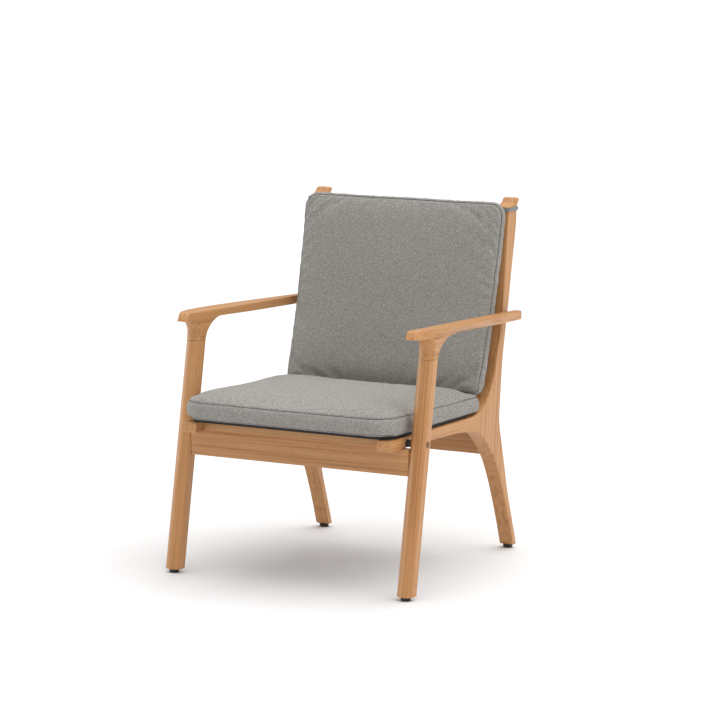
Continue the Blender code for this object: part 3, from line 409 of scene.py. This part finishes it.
class Cushion:
    """A boxed cushion: a rear panel, a boxing strip and a crowned face panel, sewn together.

    It is laid out as u across, v along and w through the thickness. place(u, v, w) puts it in the chair.
    """

    def __init__(self, name, spans, thickness, crowns, radii, place):
        self.name = name
        self.half_u, self.low_v, self.high_v = spans
        self.thickness = thickness
        self.crown, self.rear_crown = crowns
        self.high_radius, self.low_radius = radii
        self.place = place

    def loop(self, inset, share, rise=0.0):
        """The outline drawn in by an inset, at a share of the local thickness, plus a rise."""
        radii = [max(radius - 0.6 * inset, 0.008) for radius in (self.high_radius, self.low_radius)]
        points = rounded_loop(self.half_u - inset, self.low_v + inset, self.high_v - inset, *radii)
        return [self.place(u, v, share * self.thickness(v) + rise) for u, v in points]

    def swell(self, inset, crown):
        """How far a panel stands out at a distance in from the edge: quickly at first, then slowly."""
        depth = max(inset - 0.006, 0.0)
        return crown * (0.42 * (1.0 - math.exp(-depth / 0.014)) + 0.58 * (1.0 - math.exp(-depth / 0.075)))

    def build(self):
        """The cover before it is stuffed, and the two seams' paths."""
        panel = (0.010, 0.016, 0.026, 0.042, 0.065, 0.095, 0.130, 0.165, 0.200)
        rings = [self.loop(inset, 0.0, -self.swell(inset, self.rear_crown)) for inset in reversed(panel)]
        for step in range(9):
            share = step / 8
            inset = SEAM_INSET - BOXING_SWELL * math.sin(math.pi * share) ** 0.7
            rings.append(self.loop(inset, 0.03 + 0.94 * share))
        rings.extend(self.loop(inset, 1.0, self.swell(inset, self.crown)) for inset in panel)
        bm = bmesh.new()
        rows = [[bm.verts.new(p) for p in ring] for ring in rings]
        count = len(rows[0])
        for lower, upper in zip(rows, rows[1:]):
            for i in range(count):
                j = (i + 1) % count
                bm.faces.new((lower[i], lower[j], upper[j], upper[i]))
        bm.faces.new(rows[0])
        bm.faces.new(rows[-1])
        bmesh.ops.recalc_face_normals(bm, faces=bm.faces)
        mesh = bpy.data.meshes.new(self.name)
        bm.to_mesh(mesh)
        bm.free()
        self.seams = (self.loop(SEAM_INSET, 0.97), self.loop(SEAM_INSET, 0.03))
        ob = bpy.data.objects.new(self.name, mesh)
        bpy.context.scene.collection.objects.link(ob)
        return ob


def apply_modifiers(ob):
    bpy.context.view_layer.update()
    done = bpy.data.meshes.new_from_object(ob.evaluated_get(bpy.context.evaluated_depsgraph_get()))
    ob.modifiers.clear()
    old = ob.data
    ob.data = done
    bpy.data.meshes.remove(old)


def dense_path(points, step=0.002):
    """A closed path's points, put in again about every step."""
    result = []
    for i, here in enumerate(points):
        a = Vector(here)
        b = Vector(points[(i + 1) % len(points)])
        parts = max(1, round((b - a).length / step))
        for part in range(parts):
            result.append(a.lerp(b, part / parts))
    return result


def tree_of(points):
    tree = KDTree(len(points))
    for index, point in enumerate(points):
        tree.insert(point, index)
    tree.balance()
    return tree


def stuff(ob, seams, swell, fullness):
    """Fills the cover by cloth simulation: the seams are held, and no point moves more than swell."""
    remesh = ob.modifiers.new("remesh", "REMESH")
    remesh.mode = "VOXEL"
    remesh.voxel_size = VOXEL
    apply_modifiers(ob)
    held = ob.vertex_groups.new(name="held")
    tree = tree_of([p for seam in seams for p in dense_path(seam)])
    for vertex in ob.data.vertices:
        distance = tree.find(vertex.co)[2]
        if distance < SEAM_REACH:
            held.add([vertex.index], 1.0, "REPLACE")
    before = [v.co.copy() for v in ob.data.vertices]
    sim = ob.modifiers.new("cloth", "CLOTH")
    settings = sim.settings
    settings.quality = 5
    settings.mass = 0.25
    settings.tension_stiffness = 12.0
    settings.compression_stiffness = 8.0
    settings.shear_stiffness = 4.0
    settings.bending_stiffness = 0.25
    settings.use_pressure = True
    settings.uniform_pressure_force = fullness
    settings.shrink_min = -0.035
    settings.vertex_group_mass = "held"
    settings.pin_stiffness = 1.0
    settings.effector_weights.gravity = 0.0
    sim.collision_settings.use_collision = False
    sim.point_cache.frame_start = 1
    sim.point_cache.frame_end = 20
    scene = bpy.context.scene
    for number in range(1, 21):
        scene.frame_set(number)
    apply_modifiers(ob)
    scene.frame_set(1)
    for vertex, start in zip(ob.data.vertices, before):
        move = vertex.co - start
        if move.length > 1e-9:
            vertex.co = start + move * (swell / (swell + move.length))
    ob.vertex_groups.clear()


def refine(ob):
    subdivide = ob.modifiers.new("subdivide", "SUBSURF")
    subdivide.levels = 1
    subdivide.render_levels = 1
    apply_modifiers(ob)


def sew(ob, seams, pucker):
    """Draws the cover in along each seam, with small puckers that die away from it."""
    mesh = ob.data
    paths = [dense_path(seam) for seam in seams]
    tree = tree_of([p for path in paths for p in path])
    normals = [v.normal.copy() for v in mesh.vertices]
    for vertex, normal in zip(mesh.vertices, normals):
        near, index, distance = tree.find(vertex.co)
        if distance > 0.045:
            continue
        sink = SEAM_SINK * math.exp(-(distance / 0.0024) ** 2)
        ripple = noise.noise(near * 62.0 + Vector((3.1, 0.7, 5.2))) + 0.6 * noise.noise(near * 131.0)
        fold = pucker * ripple * math.exp(-distance / 0.014) * min(1.0, distance / 0.004)
        vertex.co += normal * (fold - sink)


def soften(ob, amount):
    """Slow unevenness of the stuffing under the cover."""
    mesh = ob.data
    normals = [v.normal.copy() for v in mesh.vertices]
    for vertex, normal in zip(mesh.vertices, normals):
        point = vertex.co
        slow = noise.noise(point * 9.0 + Vector((1.7, 4.2, 0.3)))
        quick = noise.noise(point * 24.0 + Vector((8.1, 2.2, 6.3)))
        vertex.co += normal * amount * (slow + 0.35 * quick)


def seam_line(ob, seam, name, material, radius=0.0007):
    """A thin dark line of painted shade along a seam, laid on the finished cover."""
    mesh = ob.data
    tree = BVHTree.FromPolygons([v.co for v in mesh.vertices], [p.vertices for p in mesh.polygons])
    points = []
    for target in dense_path(seam, 0.006):
        hit, normal, index, distance = tree.find_nearest(target)
        points.append(hit + normal * radius * 0.2)
    curve = bpy.data.curves.new(name, "CURVE")
    curve.dimensions = "3D"
    curve.bevel_depth = radius
    curve.bevel_resolution = 2
    spline = curve.splines.new("POLY")
    spline.use_cyclic_u = True
    spline.points.add(len(points) - 1)
    for knot, point in zip(spline.points, points):
        knot.co = (*point, 1.0)
    line = bpy.data.objects.new(name, curve)
    bpy.context.scene.collection.objects.link(line)
    mesh = bpy.data.meshes.new_from_object(line.evaluated_get(bpy.context.evaluated_depsgraph_get()))
    bpy.data.objects.remove(line)
    line = bpy.data.objects.new(name, mesh)
    bpy.context.scene.collection.objects.link(line)
    line.data.materials.clear()
    line.data.materials.append(material)
    line.data.shade_smooth()
    return line


def keep_off(ob, test):
    """Moves any point that the test says is too far, back to where the test says."""
    for vertex in ob.data.vertices:
        vertex.co = test(vertex.co)


def finish_cushion(ob, material, node, body):
    ob.data.materials.clear()
    ob.data.materials.append(material)
    ob.data.shade_smooth()
    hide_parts(node)
    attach(ob, body)


def along(stations, value):
    """Reads a value between (place, value) stations, level beyond the ends."""
    if value <= stations[0][0]:
        return stations[0][1]
    for (a, va), (b, vb) in zip(stations, stations[1:]):
        if value <= b:
            return va + (vb - va) * (value - a) / (b - a)
    return stations[-1][1]


def make_seat(material, seam_shade_material):
    low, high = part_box("seat_cushion")
    deck_low, deck_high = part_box("seat_deck")
    slope = math.tan(SEAT_SLOPE)

    def deck_z(y):
        return deck_high[2] - slope * (y - deck_low[1]) + DECK_PLAY

    def thickness(y):
        return SEAT_EDGE - SEAT_EDGE_TAPER * (y - low[1]) / (high[1] - low[1])

    def sag(u, v):
        """Where the cover hangs past the deck's side it comes down beside it a little."""
        return min(SEAT_SAG, 0.9 * max(0.0, abs(u) - deck_high[0] + 0.001))

    def place(u, v, w):
        return (u, v, deck_z(v) + w - sag(u, v) * max(0.0, 1.0 - w / thickness(v)))

    spans = (high[0], low[1], high[1])
    shape = Cushion("seat_cushion_cover", spans, thickness, SEAT_CROWNS, SEAT_CORNERS, place)
    ob = shape.build()
    stuff(ob, shape.seams, SWELL_LIMIT, FULLNESS)
    refine(ob)
    sew(ob, shape.seams, 0.0010)
    soften(ob, 0.0009)

    def above_deck(point):
        return Vector((point.x, point.y, max(point.z, deck_z(point.y) - sag(point.x, point.y))))

    keep_off(ob, above_deck)
    finish_cushion(ob, material, "seat_cushion", "loose_cushion")
    for seam, label in zip(shape.seams, ("upper", "lower")):
        line = seam_line(ob, seam, f"seat_cushion_{label}_seam", seam_shade_material)
        keep_off(line, above_deck)
        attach(line, "loose_cushion")


# The side view of the back cushion, as (height, y measured back from the seat cushion's front edge)
BACK_SEAM = (
    (0.400, 0.4790), (0.444, 0.4929), (0.492, 0.5111), (0.564, 0.5331), (0.624, 0.5494), (0.745, 0.5774),
    (0.850, 0.5980),
)
BACK_DEPTH = ((0.440, 0.0305), (0.560, 0.0240), (0.745, 0.0230), (0.800, 0.0205), (0.840, 0.0175))
POST_FRONT = (
    (0.548, 0.5770), (0.6188, 0.5900), (0.690, 0.5980), (0.7622, 0.6055), (0.818, 0.6155), (0.8385, 0.6212),
)
BACK_TAPER = 0.018


def make_back(material, seam_shade_material):
    low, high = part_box("back_cushion")
    chair_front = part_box("seat_cushion")[0][1]

    def thickness(z):
        return along(BACK_DEPTH, z)

    def place(u, v, w):
        narrow = BACK_TAPER * (high[2] - v) * u / high[0]
        return (u - narrow, chair_front + along(BACK_SEAM, v) + thickness(v) - w, v)

    spans = (high[0], low[2] + 0.001, high[2] - 0.001)
    shape = Cushion("back_cushion_cover", spans, thickness, BACK_CROWNS, BACK_CORNERS, place)
    ob = shape.build()
    stuff(ob, shape.seams, SWELL_LIMIT, FULLNESS)
    refine(ob)
    sew(ob, shape.seams, 0.0009)
    soften(ob, 0.0009)

    def before_posts(point):
        post = chair_front + along(POST_FRONT, point.z)
        between = 0.012 * max(0.0, min(1.0, (POST_INNER - abs(point.x)) / 0.060))
        return Vector((point.x, min(point.y, post - POST_PLAY + between), point.z))

    keep_off(ob, before_posts)
    finish_cushion(ob, material, "back_cushion", "chair")
    for seam, label in zip(shape.seams, ("front", "rear")):
        line = seam_line(ob, seam, f"back_cushion_{label}_seam", seam_shade_material)
        keep_off(line, before_posts)
        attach(line, "chair")


# Studio -------------------------------------------------------------------------------------------
def add_sun(name, direction, strength, angle):
    """A soft distant light that shines along a direction."""
    data = bpy.data.lights.new(name, "SUN")
    data.energy = strength
    data.angle = math.radians(angle)
    ob = bpy.data.objects.new(name, data)
    bpy.context.scene.collection.objects.link(ob)
    ob.rotation_mode = "QUATERNION"
    ob.rotation_quaternion = Vector((0.0, 0.0, -1.0)).rotation_difference(Vector(direction).normalized())
    return ob


def make_studio():
    bm = bmesh.new()
    bmesh.ops.create_grid(bm, x_segments=1, y_segments=1, size=90.0)
    mesh = bpy.data.meshes.new("studio_floor")
    bm.to_mesh(mesh)
    bm.free()
    floor = bpy.data.objects.new("studio_floor", mesh)
    bpy.context.scene.collection.objects.link(floor)
    floor.location.z = CAD_BOX[0][2] - 0.0002
    floor.data.materials.append(floor_material())

    world = bpy.data.worlds.new("studio")
    bpy.context.scene.world = world
    world.use_nodes = True
    tree = world.node_tree
    background = tree.nodes["Background"]
    coords = tree.nodes.new("ShaderNodeTexCoord")
    split = tree.nodes.new("ShaderNodeSeparateXYZ")
    ramp = tree.nodes.new("ShaderNodeMapRange")
    ramp.inputs["From Min"].default_value = -0.1
    ramp.inputs["From Max"].default_value = 0.9
    ramp.inputs["To Min"].default_value = 0.16
    ramp.inputs["To Max"].default_value = 0.95
    tree.links.new(coords.outputs["Generated"], split.inputs[0])
    tree.links.new(split.outputs[2], ramp.inputs["Value"])
    tree.links.new(ramp.outputs["Result"], background.inputs["Strength"])
    background.inputs["Color"].default_value = (1.0, 1.0, 1.0, 1.0)

    add_sun("key", (-0.20, -0.16, -1.0), 2.05, 75.0)
    add_sun("right", (-1.0, 0.02, -0.30), 0.50, 50.0)
    add_sun("left", (0.95, 0.12, -0.15), 0.65, 24.0)

    scene = bpy.context.scene
    scene.view_settings.view_transform = "Standard"
    scene.view_settings.look = "None"

    data = bpy.data.cameras.new("camera")
    data.lens = CAMERA_LENS
    data.sensor_width = 36.0
    data.clip_end = 300.0
    camera = bpy.data.objects.new("camera", data)
    scene.collection.objects.link(camera)
    flat = math.cos(CAMERA_ELEVATION)
    across = math.sin(CAMERA_AZIMUTH) * flat
    ahead = -math.cos(CAMERA_AZIMUTH) * flat
    offset = Vector((across, ahead, math.sin(CAMERA_ELEVATION)))
    camera.location = CAMERA_AIM + offset * CAMERA_DISTANCE
    camera.rotation_euler = (math.pi / 2 - CAMERA_ELEVATION, 0.0, CAMERA_AZIMUTH)
    scene.camera = camera


finish_nodes()
FABRIC = cloth("grey_cloth", (0.202, 0.193, 0.177), (0.472, 0.456, 0.426))
# The seam lines carry painted shade: a dark line along each seam for the shade in its groove.
SEAM_SHADE = painted_seam_shade()
make_seat(FABRIC, SEAM_SHADE)
make_back(FABRIC, SEAM_SHADE)
make_studio()
